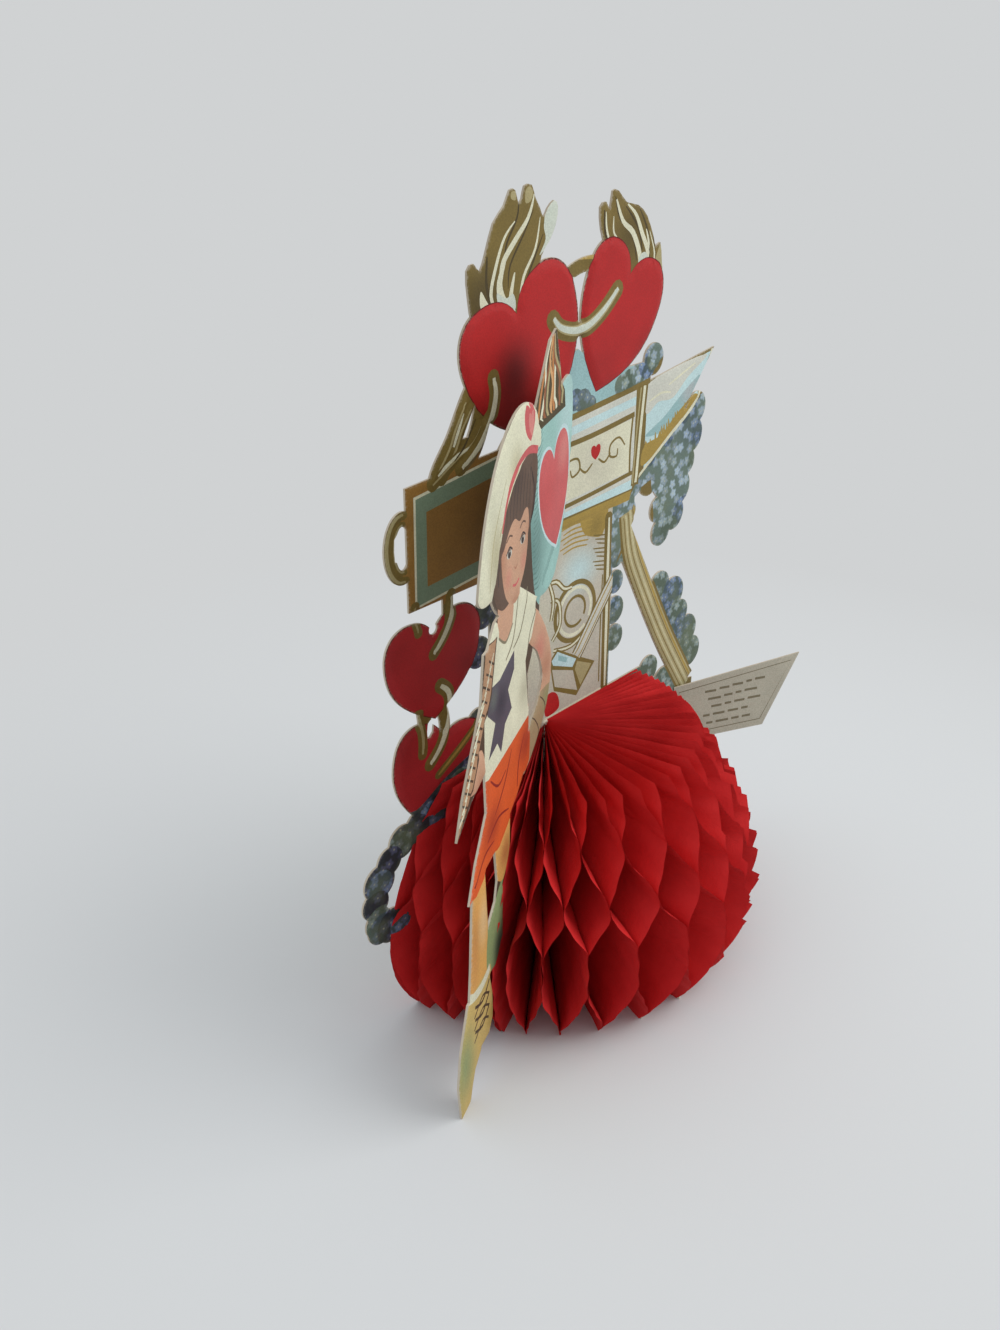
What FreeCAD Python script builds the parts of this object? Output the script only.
import FreeCAD, Part
import math
import os

# A die-cut stand-up card with a honeycomb tissue skirt, in millimetres.
# The scene board stands in the XZ plane with its printed face on y = 0, looking along -Y.
# The origin is the foot of the spine, where every tissue sheet is gathered.
# Places on a board are (u, z): u runs along the board from the spine, z is the height.

# Board stock
board_thickness = 0.5
figure_thickness = 0.5
verse_thickness = 0.4
glue_line = 0.05
smallest_opening = 4.0

# Tissue skirt: its side profile turned about the spine
skirt_height = 59.5
skirt_top_radius = 38.0
skirt_shoulder_radius = 49.8
skirt_shoulder_height = 40.0
skirt_belly_radius = 55.0
skirt_belly_height = 21.0
skirt_foot_radius = 46.6
skirt_core_radius = 5.5

# Honeycomb cells: rows of glue join the sheets in pairs, odd rows shifted by half a cell
left_cells = 3
right_cells = 15
sheet_thickness = 0.9
top_row_low = 50.5
second_row_high = 41.5
second_row_low = 39.0
third_row_high = 34.5
third_row_low = 24.0
foot_row_high = 4.0

# Figure board: a page that stands out in front of the left wing
figure_angle = 23.5
figure_offset = 4.7
figure_leg_inner = 33.0
head_radius = 14.0

# Hearts of the scene board
crest_heart_width = 38.0
crest_heart_height = 36.0
crest_heart_tilt = 20.0
twin_heart_width = 30.0
twin_heart_height = 33.0
twin_heart_tilt = -24.0
chain_heart_width = 29.5
chain_heart_height = 25.5
lower_chain_heart_tilt = -17.0
link_width = 3.2

# Plaque, sign and post of the scene board
plaque_left = -45.0
plaque_bottom = 104.0
plaque_height = 27.5
field_left = -20.0
field_right = 25.5
sign_bottom = 109.5
sign_height = 25.0
sign_right = 33.5
arrow_reach = 31.0
post_width = 7.0
post_head = 101.0
wing_rim = 1.6
left_wing_inset = 8.0

# Flowers
blossom_radius = 3.6
swag_radius = 4.2

# Verse card: a bent tag glued by a tab to the foot of the post
verse_width = 40.0
verse_height = 19.5
verse_tab = 8.0
verse_bend = 28.0
verse_top = 46.5
verse_clearance = 1.5

# Stitch that gathers the sheets at the head of the spine
stitch_radius = 0.45
knot_radius = 0.8
stitch_length = 9.0
stitch_clearance = 0.15


def point(u, z):
    return FreeCAD.Vector(u, 0.0, z)


def polygon(corners):
    points = [point(u, z) for u, z in corners]
    return Part.Face(Part.makePolygon(points + points[:1]))


def blob(corners):
    """A smooth closed outline through a few corners."""
    curve = Part.BSplineCurve()
    curve.interpolate([point(u, z) for u, z in corners], PeriodicFlag=True)
    return Part.Face(Part.Wire(curve.toShape()))


def disc(centre, radius):
    circle = Part.Circle(point(*centre), FreeCAD.Vector(0, 1, 0), radius)
    return Part.Face(Part.Wire(circle.toShape()))


def ring(centre, half_width, half_height, tilt, width):
    """An elliptical band, as a link of the chain is drawn."""
    turn = math.radians(tilt)

    def oval(across, up):
        side = (centre[0] + across * math.cos(turn), centre[1] + across * math.sin(turn))
        head = (centre[0] - up * math.sin(turn), centre[1] + up * math.cos(turn))
        long_end, short_end = (side, head) if across >= up else (head, side)
        curve = Part.Ellipse(point(*long_end), point(*short_end), point(*centre))
        return Part.Face(Part.Wire(curve.toShape()))

    return oval(half_width, half_height).cut(oval(half_width - width, half_height - width))


def band(path, width):
    """A stroke of even width along a smooth path."""
    left = []
    right = []
    for i, (u, z) in enumerate(path):
        before = path[max(i - 1, 0)]
        after = path[min(i + 1, len(path) - 1)]
        du, dz = after[0] - before[0], after[1] - before[1]
        length = math.hypot(du, dz)
        side_u, side_z = -dz / length * width / 2, du / length * width / 2
        left.append(point(u + side_u, z + side_z))
        right.append(point(u - side_u, z - side_z))
    edges = []
    for side in (left, right):
        if len(side) == 2:
            edges.append(Part.makeLine(side[0], side[1]))
        else:
            curve = Part.BSplineCurve()
            curve.interpolate(side)
            edges.append(curve.toShape())
    edges.append(Part.makeLine(left[0], right[0]))
    edges.append(Part.makeLine(left[-1], right[-1]))
    return Part.Face(Part.Wire(Part.__sortEdges__(edges)))


def eased(corners):
    """The same outline with its corners eased: short straight cuts that follow one smooth line."""
    cuts = []
    count = len(corners)
    for i in range(count):
        before, start, end, after = [corners[(i + k) % count] for k in (-1, 0, 1, 2)]
        for share in (0.0, 0.5):
            weights = (
                share * (2 * share - share ** 2 - 1) / 2,
                (3 * share ** 3 - 5 * share ** 2 + 2) / 2,
                share * (4 * share + 1 - 3 * share ** 2) / 2,
                share ** 2 * (share - 1) / 2,
            )
            places = (before, start, end, after)
            cuts.append(tuple(sum(w * place[k] for w, place in zip(weights, places)) for k in (0, 1)))
    return cuts


def flowers(path, radius, count):
    """Discs evenly spaced along a path: the scalloped edge of a spray of small flowers."""
    lengths = [math.dist(path[i], path[i + 1]) for i in range(len(path) - 1)]
    total = sum(lengths)
    found = []
    for i in range(count):
        left = total * i / max(count - 1, 1)
        leg = 0
        while leg < len(lengths) - 1 and left > lengths[leg]:
            left -= lengths[leg]
            leg += 1
        share = min(left / lengths[leg], 1.0)
        u = path[leg][0] + (path[leg + 1][0] - path[leg][0]) * share
        z = path[leg][1] + (path[leg + 1][1] - path[leg][1]) * share
        found.append(disc((u, z), radius * (1.0 + 0.12 * math.sin(2.3 * i))))
    return found


class Heart:
    """A heart outline of four lobes' curves, with places on it given as shares of its size."""

    def __init__(self, u, z, width, height, tilt=0.0):
        self.u = u
        self.z = z
        self.width = width
        self.height = height
        self.tilt = math.radians(tilt)

    def at(self, across, up):
        x, y = across * self.width, up * self.height
        c, s = math.cos(self.tilt), math.sin(self.tilt)
        return (self.u + x * c - y * s, self.z + x * s + y * c)

    def face(self):
        edges = []
        for side in (1, -1):
            curves = (
                ((0, .33), (.05, .45), (.14, .5), (.26, .5)),
                ((.26, .5), (.41, .5), (.5, .38), (.5, .22)),
                ((.5, .22), (.5, -.1), (.33, -.3), (0, -.5)),
            )
            for poles in curves:
                curve = Part.BezierCurve()
                curve.setPoles([point(*self.at(side * x, y)) for x, y in poles])
                edges.append(curve.toShape())
        return Part.Face(Part.Wire(Part.__sortEdges__(edges)))


def fused_sheet(faces, holes, thickness):
    """One die-cut sheet: the union of its outlines, less every cut-out that a steel rule can cut."""
    pull = FreeCAD.Vector(0, thickness, 0)
    plates = [face.extrude(pull) for face in faces]
    union = plates[0].multiFuse(plates[1:])
    if holes:
        union = union.cut([hole.extrude(pull) for hole in holes])
    union = union.removeSplitter()
    front = max((f for f in union.Faces if f.BoundBox.YMax < thickness / 2), key=lambda f: f.Area)
    sheet = Part.Face(front.OuterWire).extrude(pull)
    openings = [Part.Face(wire) for wire in front.Wires if not wire.isSame(front.OuterWire)]
    kept = [opening.extrude(pull) for opening in openings if opening.Area > smallest_opening]
    return sheet.cut(kept) if kept else sheet


def skirt_curve(rim=0.0):
    """The skirt's outer profile from its foot to its top edge, as one smooth curve."""
    places = (
        (skirt_foot_radius, 0.0),
        (skirt_belly_radius, skirt_belly_height),
        (skirt_shoulder_radius, skirt_shoulder_height),
        (skirt_top_radius, skirt_height),
    )
    curve = Part.BSplineCurve()
    curve.interpolate([point(radius + rim, z) for radius, z in places])
    return curve


# Scene board

crest_heart = Heart(-7.5, 150.0, crest_heart_width, crest_heart_height, crest_heart_tilt)
twin_heart = Heart(23.0, 154.0, twin_heart_width, twin_heart_height, twin_heart_tilt)
upper_chain_heart = Heart(-38.0, 88.6, chain_heart_width, chain_heart_height)
lower_chain_heart = Heart(-38.3, 61.8, chain_heart_width, chain_heart_height, lower_chain_heart_tilt)

plaque_top = plaque_bottom + plaque_height
sign_top = sign_bottom + sign_height
verse_fold = skirt_belly_radius + verse_clearance


def flame(heart, corners):
    """The licking outline of a flame, its places measured from the middle of its heart."""
    return polygon(eased([(heart.u + across, heart.z + up) for across, up in corners]))


crest_flame = (
    (-11.5, 2.0), (-16.8, 10.0), (-18.3, 16.0), (-18.7, 21.4), (-16.7, 22.6), (-14.9, 20.8),
    (-13.1, 24.4),
    (-10.9, 29.6), (-7.7, 32.6), (-6.1, 35.4), (-4.4, 35.2), (-3.5, 32.8), (-2.4, 33.4), (-1.6, 35.8),
    (0.6, 35.8), (1.7, 33.4), (3.2, 31.2), (4.4, 29.2), (5.7, 30.8), (7.7, 32.2), (9.0, 30.8), (8.3, 27.2),
    (6.3, 24.2), (3.9, 21.6), (2.5, 16.0), (-0.5, 6.0),
)
twin_flame = (
    (1.0, 4.0), (-3.5, 10.0), (-4.8, 16.0), (-6.6, 20.6), (-7.2, 25.2), (-5.2, 26.2), (-3.7, 24.4),
    (-3.0, 28.2),
    (-0.8, 28.0), (2.2, 25.4), (6.5, 24.4), (10.0, 21.8), (12.8, 17.0), (13.9, 14.6), (15.6, 15.4), (16.6, 11.0),
    (16.6, 6.0), (9.0, 2.0),
)


def wing_half(side, rim):
    """Half of the board's foot, cut to the skirt's profile."""
    curve = skirt_curve(rim)
    edge = curve.toShape()
    top = curve.EndPoint
    foot = curve.StartPoint
    edges = [edge]
    for start, end in (((top.x, top.z), (0, top.z)), ((0, top.z), (0, 0)), ((0, 0), (foot.x, 0))):
        edges.append(Part.makeLine(point(*start), point(*end)))
    face = Part.Face(Part.Wire(Part.__sortEdges__(edges)))
    if side < 0:
        face = face.mirror(FreeCAD.Vector(0, 0, 0), FreeCAD.Vector(1, 0, 0))
    return face


def scene_board():
    field = polygon((
        (field_left, skirt_height - 15.0),
        (field_right, skirt_height - 15.0),
        (field_right, post_head - 8.0),
        (sign_right, post_head + 2.0),
        (sign_right, sign_top),
        (16.0, sign_top + 11.0),
        (9.5, sign_top + 15.5),
        (-6.0, sign_top + 11.0),
        (field_left, plaque_top - 2.0),
    ))
    plaque = polygon((
        (plaque_left, plaque_bottom),
        (field_left + 3.0, plaque_bottom),
        (field_left + 3.0, plaque_top + 1.5),
        (plaque_left, plaque_top),
    ))
    sign = polygon((
        (0.0, sign_bottom),
        (sign_right - 3.5, sign_bottom + 0.5),
        (sign_right, sign_bottom + 5.0),
        (sign_right + arrow_reach * 0.55, sign_bottom + 15.0),
        (sign_right + arrow_reach, sign_top + 6.5),
        (sign_right, sign_top + 2.5),
        (0.0, sign_top - 0.5),
    ))
    sky = polygon((
        (2.0, sign_top - 2.0),
        (sign_right + 3.0, sign_top),
        (sign_right + 3.0, sign_top + 8.0),
        (12.0, sign_top + 8.0),
        (2.0, sign_top + 5.0),
    ))
    faces = [field, plaque, sign, sky]
    faces += [wing_half(1, wing_rim), wing_half(-1, -left_wing_inset)]
    faces += [heart.face() for heart in (crest_heart, twin_heart, upper_chain_heart, lower_chain_heart)]
    faces += [flame(crest_heart, crest_flame), flame(twin_heart, twin_flame)]
    faces += chain()
    faces += sprays()
    faces += post()
    holes = [
        disc(upper_chain_heart.at(0, 0.37), 1.3),
        polygon(eased(((-40.6, 71.8), (-38.8, 72.8), (-38.7, 76.0), (-40.4, 75.6)))),
        polygon(eased(((-48.4, 116.6), (-47.0, 117.4), (-47.0, 122.0), (-48.4, 121.6)))),
    ]
    return fused_sheet(faces, holes, board_thickness)


def chain():
    """Gold links that hang the chain hearts from the plaque and join the crest to its twin."""
    middle = ((crest_heart.u + twin_heart.u) / 2 + 3.5, (crest_heart.z + twin_heart.z) / 2 + 9.2)
    links = [ring(middle, 12.6, 8.4, 8.0, link_width)]
    links.append(ring((plaque_left - 1.2, plaque_bottom + 15.0), 5.2, 8.0, 0.0, link_width))
    strand = [(-22.5, 150.0), (-28.6, 141.6), (-31.2, 137.4), (-33.6, 134.5), (-36.2, plaque_top - 1.5)]
    links.append(band(strand, link_width * 1.45))
    inner = [(-21.5, 144.0), (-23.4, 137.8), (-26.0, 133.8), (-30.0, plaque_top - 1.0)]
    links.append(band(inner, link_width * 1.75))
    links.append(polygon(((-33.0, 130.0), (-30.0, 138.0), (-25.5, 138.0), (-24.0, 130.0))))
    chin = upper_chain_heart.at(0.16, 0.38)
    links.append(band([(chin[0], plaque_bottom + 4.0), chin], link_width))
    upper = upper_chain_heart.at(0.0, -0.3)
    lower = lower_chain_heart.at(0.0, 0.2)
    links.append(band([upper, (upper[0] + 3.0, (upper[1] + lower[1]) / 2), lower], link_width))
    strip_top = upper_chain_heart.at(-0.14, -0.2)
    strip_end = lower_chain_heart.at(-0.16, 0.3)
    links.append(band([strip_top, strip_end], link_width * 1.2))
    return links


def sprays():
    """Forget-me-nots: each spray is a soft mass with blossoms round its edge, rooted on the board."""
    swag_root = lower_chain_heart.at(0.42, -0.2)
    swag = [swag_root, (-40.0, 51.0), (-50.0, 48.5), (-56.5, 43.0), (-58.5, 36.0), (-57.8, 30.5)]
    found = flowers(swag, swag_radius, 9)
    found += flowers([(-57.0, 28.5), (-51.0, 27.0)], swag_radius, 3)
    inner = [(-22.0, 96.0), (-24.0, 86.0), (-24.5, 76.0), (-24.0, 69.0)]
    found += flowers(inner, blossom_radius, 4)
    found += arrow_spray()
    found += flowers([(34.0, 138.5), (38.5, 142.5)], blossom_radius, 2)
    side = field_right + 1.5
    found += flowers([(side, 104.0), (side, 84.0), (side, 74.0), (side + 2.0, 65.0)], blossom_radius, 6)
    mass = polygon((
        (42.0, 80.0), (47.0, 83.5), (53.5, 79.0), (57.5, 71.0), (64.0, 60.0), (60.0, 54.0), (52.0, 62.0),
    ))
    edge = [(46.5, 80.5), (52.5, 77.5), (57.0, 69.0), (62.5, 60.0), (63.5, 55.5)]
    found += [mass] + flowers(edge, blossom_radius * 1.25, 5)
    found += flowers([(43.5, 57.0), (51.0, 50.5)], blossom_radius * 1.2, 2)
    return found


def arrow_spray():
    """The spray under the arrow: a mass along its lower edge and a bunch that hangs from it."""
    shaft = sign_right + arrow_reach * 0.55
    mass = polygon((
        (29.0, 107.0), (30.0, 112.5), (sign_right, 116.0), (shaft, 128.0), (shaft + 9.0, 126.0),
        (shaft + 5.0, 112.0), (shaft + 1.0, 98.0), (shaft - 6.5, 95.0), (shaft - 7.0, 106.0), (38.5, 111.5),
    ))
    outer = [
        (shaft + 7.5, 126.5), (shaft + 6.0, 117.0), (shaft + 2.5, 107.0), (shaft, 98.5), (shaft - 5.0, 96.5),
    ]
    inner = [(shaft - 6.5, 103.0), (39.0, 112.0), (31.0, 106.0)]
    return [mass] + flowers(outer, blossom_radius * 1.2, 6) + flowers(inner, blossom_radius, 3)


def post():
    """The slanting post, from the cottage side down to the foot that carries the verse card."""
    foot_u = verse_fold + verse_tab
    path = [(29.0, post_head), (38.0, 85.0), (49.0, 66.0), (foot_u - 2.0, verse_top)]
    stroke = band(path, post_width)
    foot = polygon((
        (skirt_belly_radius - 4.0, verse_top - verse_height + 2.0),
        (foot_u + 1.0, verse_top - verse_height + 2.0),
        (foot_u + 1.0, verse_top),
        (foot_u - 8.0, verse_top + 2.0),
        (skirt_belly_radius - 10.0, verse_top - 2.0),
    ))
    return [stroke, foot]


# Tissue pads


def polar(radius, angle, z):
    turn = math.radians(angle)
    return FreeCAD.Vector(radius * math.cos(turn), radius * math.sin(turn), z)


def wedge_cell(angle, half_angle, levels):
    """The hollow of one cell: a wedge that narrows to an edge at the gathered core.

    levels is a list of (z, share), where share is how far the cell is open at that height.
    """
    reach = skirt_belly_radius * 1.15
    core = skirt_core_radius
    trim = math.degrees(sheet_thickness / 2 / skirt_belly_radius)
    inner = [polar(core, angle, z) for z, share in levels]
    left = []
    right = []
    for z, share in levels:
        spread = max(half_angle * share - trim, 0.0)
        left.append(polar(reach, angle - spread, z))
        right.append(polar(reach, angle + spread, z))
    faces = []

    def facet(*corners):
        distinct = []
        for corner in corners:
            if all(corner.distanceToPoint(other) > 1e-6 for other in distinct):
                distinct.append(corner)
        if len(distinct) == 3:
            faces.append(Part.Face(Part.makePolygon(distinct + distinct[:1])))

    for i in range(len(levels) - 1):
        facet(inner[i], left[i], left[i + 1])
        facet(inner[i], left[i + 1], inner[i + 1])
        facet(inner[i], right[i + 1], right[i])
        facet(inner[i], inner[i + 1], right[i + 1])
        facet(left[i], right[i], right[i + 1])
        facet(left[i], right[i + 1], left[i + 1])
    facet(inner[0], right[0], left[0])
    facet(inner[-1], left[-1], right[-1])
    return Part.Solid(Part.Shell(faces))


def cell_rows():
    """Heights at which the two kinds of cell are open, from the foot to the top."""
    above = skirt_height + 5.0
    whole = [
        [(foot_row_high, 0.0), (third_row_low, 1.0), (third_row_high, 1.0), (second_row_low, 0.0)],
        [(second_row_high, 0.0), (top_row_low, 1.0), (above, 1.0)],
    ]
    shifted = [
        [(-5.0, 1.0), (foot_row_high, 1.0), (third_row_low, 0.0)],
        [(third_row_high, 0.0), (second_row_low, 1.0), (second_row_high, 1.0), (top_row_low, 0.0)],
    ]
    return whole, shifted


def figure_plan(along, depth):
    """A point of the figure's page in plan: along it from the spine, and behind its printed face."""
    turn = math.radians(figure_angle)
    out_x = figure_offset * math.sin(turn)
    out_y = -figure_offset * math.cos(turn)
    return (
        along * math.cos(turn) - depth * math.sin(turn) + out_x,
        along * math.sin(turn) + depth * math.cos(turn) + out_y,
    )


def beyond_page(depth, far_y):
    """All that lies on one side of the line from the spine to the legs and on along the page."""
    near = figure_plan(-figure_leg_inner, depth)
    far = figure_plan(-skirt_belly_radius * 2, depth)
    corners = [(0.0, 0.0), near, far, (far[0], far_y), (0.0, far_y)]
    base = [FreeCAD.Vector(x, y, -5.0) for x, y in corners]
    plan = Part.Face(Part.makePolygon(base + base[:1]))
    return plan.extrude(FreeCAD.Vector(0, 0, skirt_height + 15.0))


def tissue_pad(start, end, first_cell, last_cell, cells, cut_off):
    """A pad of glued sheets spread like a fan, with its cells cut open from one angle to another."""
    foot = Part.makeLine(point(0, 0), point(skirt_foot_radius, 0))
    top = Part.makeLine(point(skirt_top_radius, skirt_height), point(0, skirt_height))
    spine = Part.makeLine(point(0, skirt_height), point(0, 0))
    profile = Part.Face(Part.Wire([foot, skirt_curve().toShape(), top, spine]))
    pad = profile.revolve(FreeCAD.Vector(0, 0, 0), FreeCAD.Vector(0, 0, 1), end - start)
    pad.rotate(FreeCAD.Vector(0, 0, 0), FreeCAD.Vector(0, 0, 1), start)
    pad = pad.cut(cut_off)
    pitch = (last_cell - first_cell) / cells
    whole, shifted = cell_rows()
    hollows = []
    for i in range(cells):
        middle = first_cell + pitch * (i + 0.5)
        hollows += [wedge_cell(middle, pitch / 2, levels) for levels in whole]
        if i > 0:
            hollows += [wedge_cell(first_cell + pitch * i, pitch / 2, levels) for levels in shifted]
    pad = pad.cut(hollows)
    return pad.cut(stitch_relief())


# Figure board


def place_figure(shape):
    """Stand the figure's page at its angle in front of the left wing."""
    shape.rotate(FreeCAD.Vector(0, 0, 0), FreeCAD.Vector(0, 0, 1), figure_angle)
    turn = math.radians(figure_angle - 90.0)
    shape.translate(FreeCAD.Vector(figure_offset * math.cos(turn), figure_offset * math.sin(turn), 0))
    return shape


def figure_board():
    beret = blob((
        (-61.5, 119.0), (-58.0, 130.0), (-50.0, 142.0), (-36.0, 149.0), (-26.0, 145.5), (-24.5, 137.0),
        (-40.0, 126.0), (-55.0, 115.5),
    ))
    head = disc((-41.5, 122.0), head_radius)
    hair = polygon(((-36.0, 143.0), (-24.0, 142.0), (-22.0, 112.0), (-38.0, 110.0)))
    shield = blob((
        (-29.0, 130.0), (-25.0, 141.0), (-12.0, 144.5), (-0.5, 146.5), (1.5, 136.0), (-3.5, 116.0),
        (-12.0, 103.0), (-24.0, 104.0),
    ))
    crown = polygon((
        (-27.0, 142.0), (-26.0, 146.0), (-16.5, 157.5), (-12.0, 159.0), (-8.5, 150.0), (-6.5, 142.0),
    ))
    torso = polygon((
        (-52.0, 110.0), (-38.0, 112.0), (-21.0, 108.0), (-22.0, 97.0), (-30.0, 88.0), (-29.0, 78.0),
        (-56.0, 74.0), (-58.5, 104.0),
    ))
    arm = polygon(eased((
        (-30.5, 103.0), (-24.0, 101.0), (-16.5, 93.5), (-11.2, 83.5), (-14.5, 73.5), (-22.0, 67.5),
        (-32.0, 63.5), (-32.5, 71.0), (-23.5, 76.0), (-18.5, 82.0), (-22.5, 90.0), (-30.0, 96.5),
    )))
    stick = polygon((
        (-75.0, 73.0), (-71.5, 80.5), (-60.5, 95.5), (-58.5, 106.0), (-52.0, 106.0), (-54.0, 80.0),
        (-66.0, 77.5),
    ))
    shorts = polygon((
        (-58.5, 80.5), (-57.5, 69.0), (-64.5, 60.5), (-68.5, 53.0), (-58.0, 55.5), (-50.0, 56.0),
        (-37.0, 61.0), (-29.0, 66.0), (-29.0, 80.0),
    ))
    front_leg = polygon((
        (-66.5, 54.5), (-59.0, 57.0), (-57.0, 40.0), (-57.0, 20.0), (-70.0, 20.0), (-68.0, 36.0),
    ))
    back_leg = polygon((
        (-52.5, 58.0), (-42.0, 60.0), (-42.0, 50.0), (-47.0, 44.0), (-47.0, 30.0), (-52.0, 25.0),
        (-58.0, 26.0), (-58.0, 38.0), (-52.0, 42.5), (-50.5, 47.0),
    ))
    boot = polygon((
        (-70.0, 28.0), (-75.0, 18.0), (-76.5, 10.0), (-75.0, 0.0), (-69.5, 0.0), (-67.0, 6.0),
        (-62.0, 9.5), (-57.0, 9.0), (-54.0, 13.0), (-54.5, 20.0), (-57.0, 28.0),
    ))
    faces = [torso, beret, head, hair, shield, crown, arm, stick, shorts, front_leg, back_leg, boot]
    return place_figure(fused_sheet(faces, [], figure_thickness))


# Verse card and stitch


def verse_card():
    """A slanted tag, its tab flat on the post's foot and its panel bent towards the viewer."""
    low = verse_top - verse_height
    tab = polygon((
        (verse_fold, low + 3.0),
        (verse_fold + verse_tab, low + 4.0),
        (verse_fold + verse_tab, verse_top - 3.0),
        (verse_fold, verse_top - 2.0),
    )).extrude(FreeCAD.Vector(0, -verse_thickness, 0))
    panel = polygon((
        (0.0, low + 1.5),
        (verse_width - 10.0, low + 2.0),
        (verse_width, verse_top + 4.5),
        (0.0, verse_top),
    )).extrude(FreeCAD.Vector(0, -verse_thickness, 0))
    panel.rotate(FreeCAD.Vector(0, 0, 0), FreeCAD.Vector(0, 0, 1), -verse_bend)
    panel.translate(FreeCAD.Vector(verse_fold, 0, 0))
    card = tab.fuse(panel)
    card.translate(FreeCAD.Vector(0, -glue_line, 0))
    return card.removeSplitter()


def stitch_axis():
    return polar(skirt_core_radius * 0.45, 180.0 + figure_angle + 6.0, 0)


def stitch_relief():
    base = stitch_axis() + FreeCAD.Vector(0, 0, skirt_height - stitch_length - stitch_clearance)
    radius = stitch_radius + stitch_clearance
    return Part.makeCylinder(radius, stitch_length * 2, base)


def spine_stitch():
    axis = stitch_axis()
    base = axis + FreeCAD.Vector(0, 0, skirt_height - stitch_length)
    thread = Part.makeCylinder(stitch_radius, stitch_length + knot_radius, base)
    head = axis + FreeCAD.Vector(0, 0, skirt_height)
    lower = Part.makeCone(stitch_radius, knot_radius, knot_radius, head)
    upper = Part.makeCone(knot_radius, stitch_radius, knot_radius, head + FreeCAD.Vector(0, 0, knot_radius))
    return thread.multiFuse([lower, upper]).removeSplitter()


def page_angle(radius, depth):
    """The angle at which the figure's page, seen from above, lies at a distance from the spine."""
    return 180.0 + figure_angle + math.degrees(math.asin((figure_offset - depth) / radius))


behind_page = figure_thickness + glue_line
left_pad = tissue_pad(
    180.0, page_angle(figure_leg_inner, behind_page) + 5.0, 180.0,
    page_angle(skirt_belly_radius, behind_page), left_cells, beyond_page(behind_page, -skirt_belly_radius * 2),
)
right_pad = tissue_pad(
    page_angle(skirt_belly_radius, 0.0) - 5.0, 360.0, page_angle(figure_leg_inner, -glue_line),
    360.0, right_cells, beyond_page(-glue_line, 5.0),
)
nodes = {
    "scene_board": scene_board(),
    "figure_board": figure_board(),
    "tissue_left": left_pad,
    "tissue_right": right_pad,
    "verse_card": verse_card(),
    "spine_stitch": spine_stitch(),
}

os.makedirs("parts", exist_ok=True)
for name, shape in nodes.items():
    shape.exportStep(f"parts/{name}.step")
    box = shape.BoundBox
    print(name, "solids", len(shape.Solids), "valid", shape.isValid(), "volume", round(shape.Volume, 1),
          "box", [round(v, 1) for v in (box.XMin, box.YMin, box.ZMin, box.XMax, box.YMax, box.ZMax)])
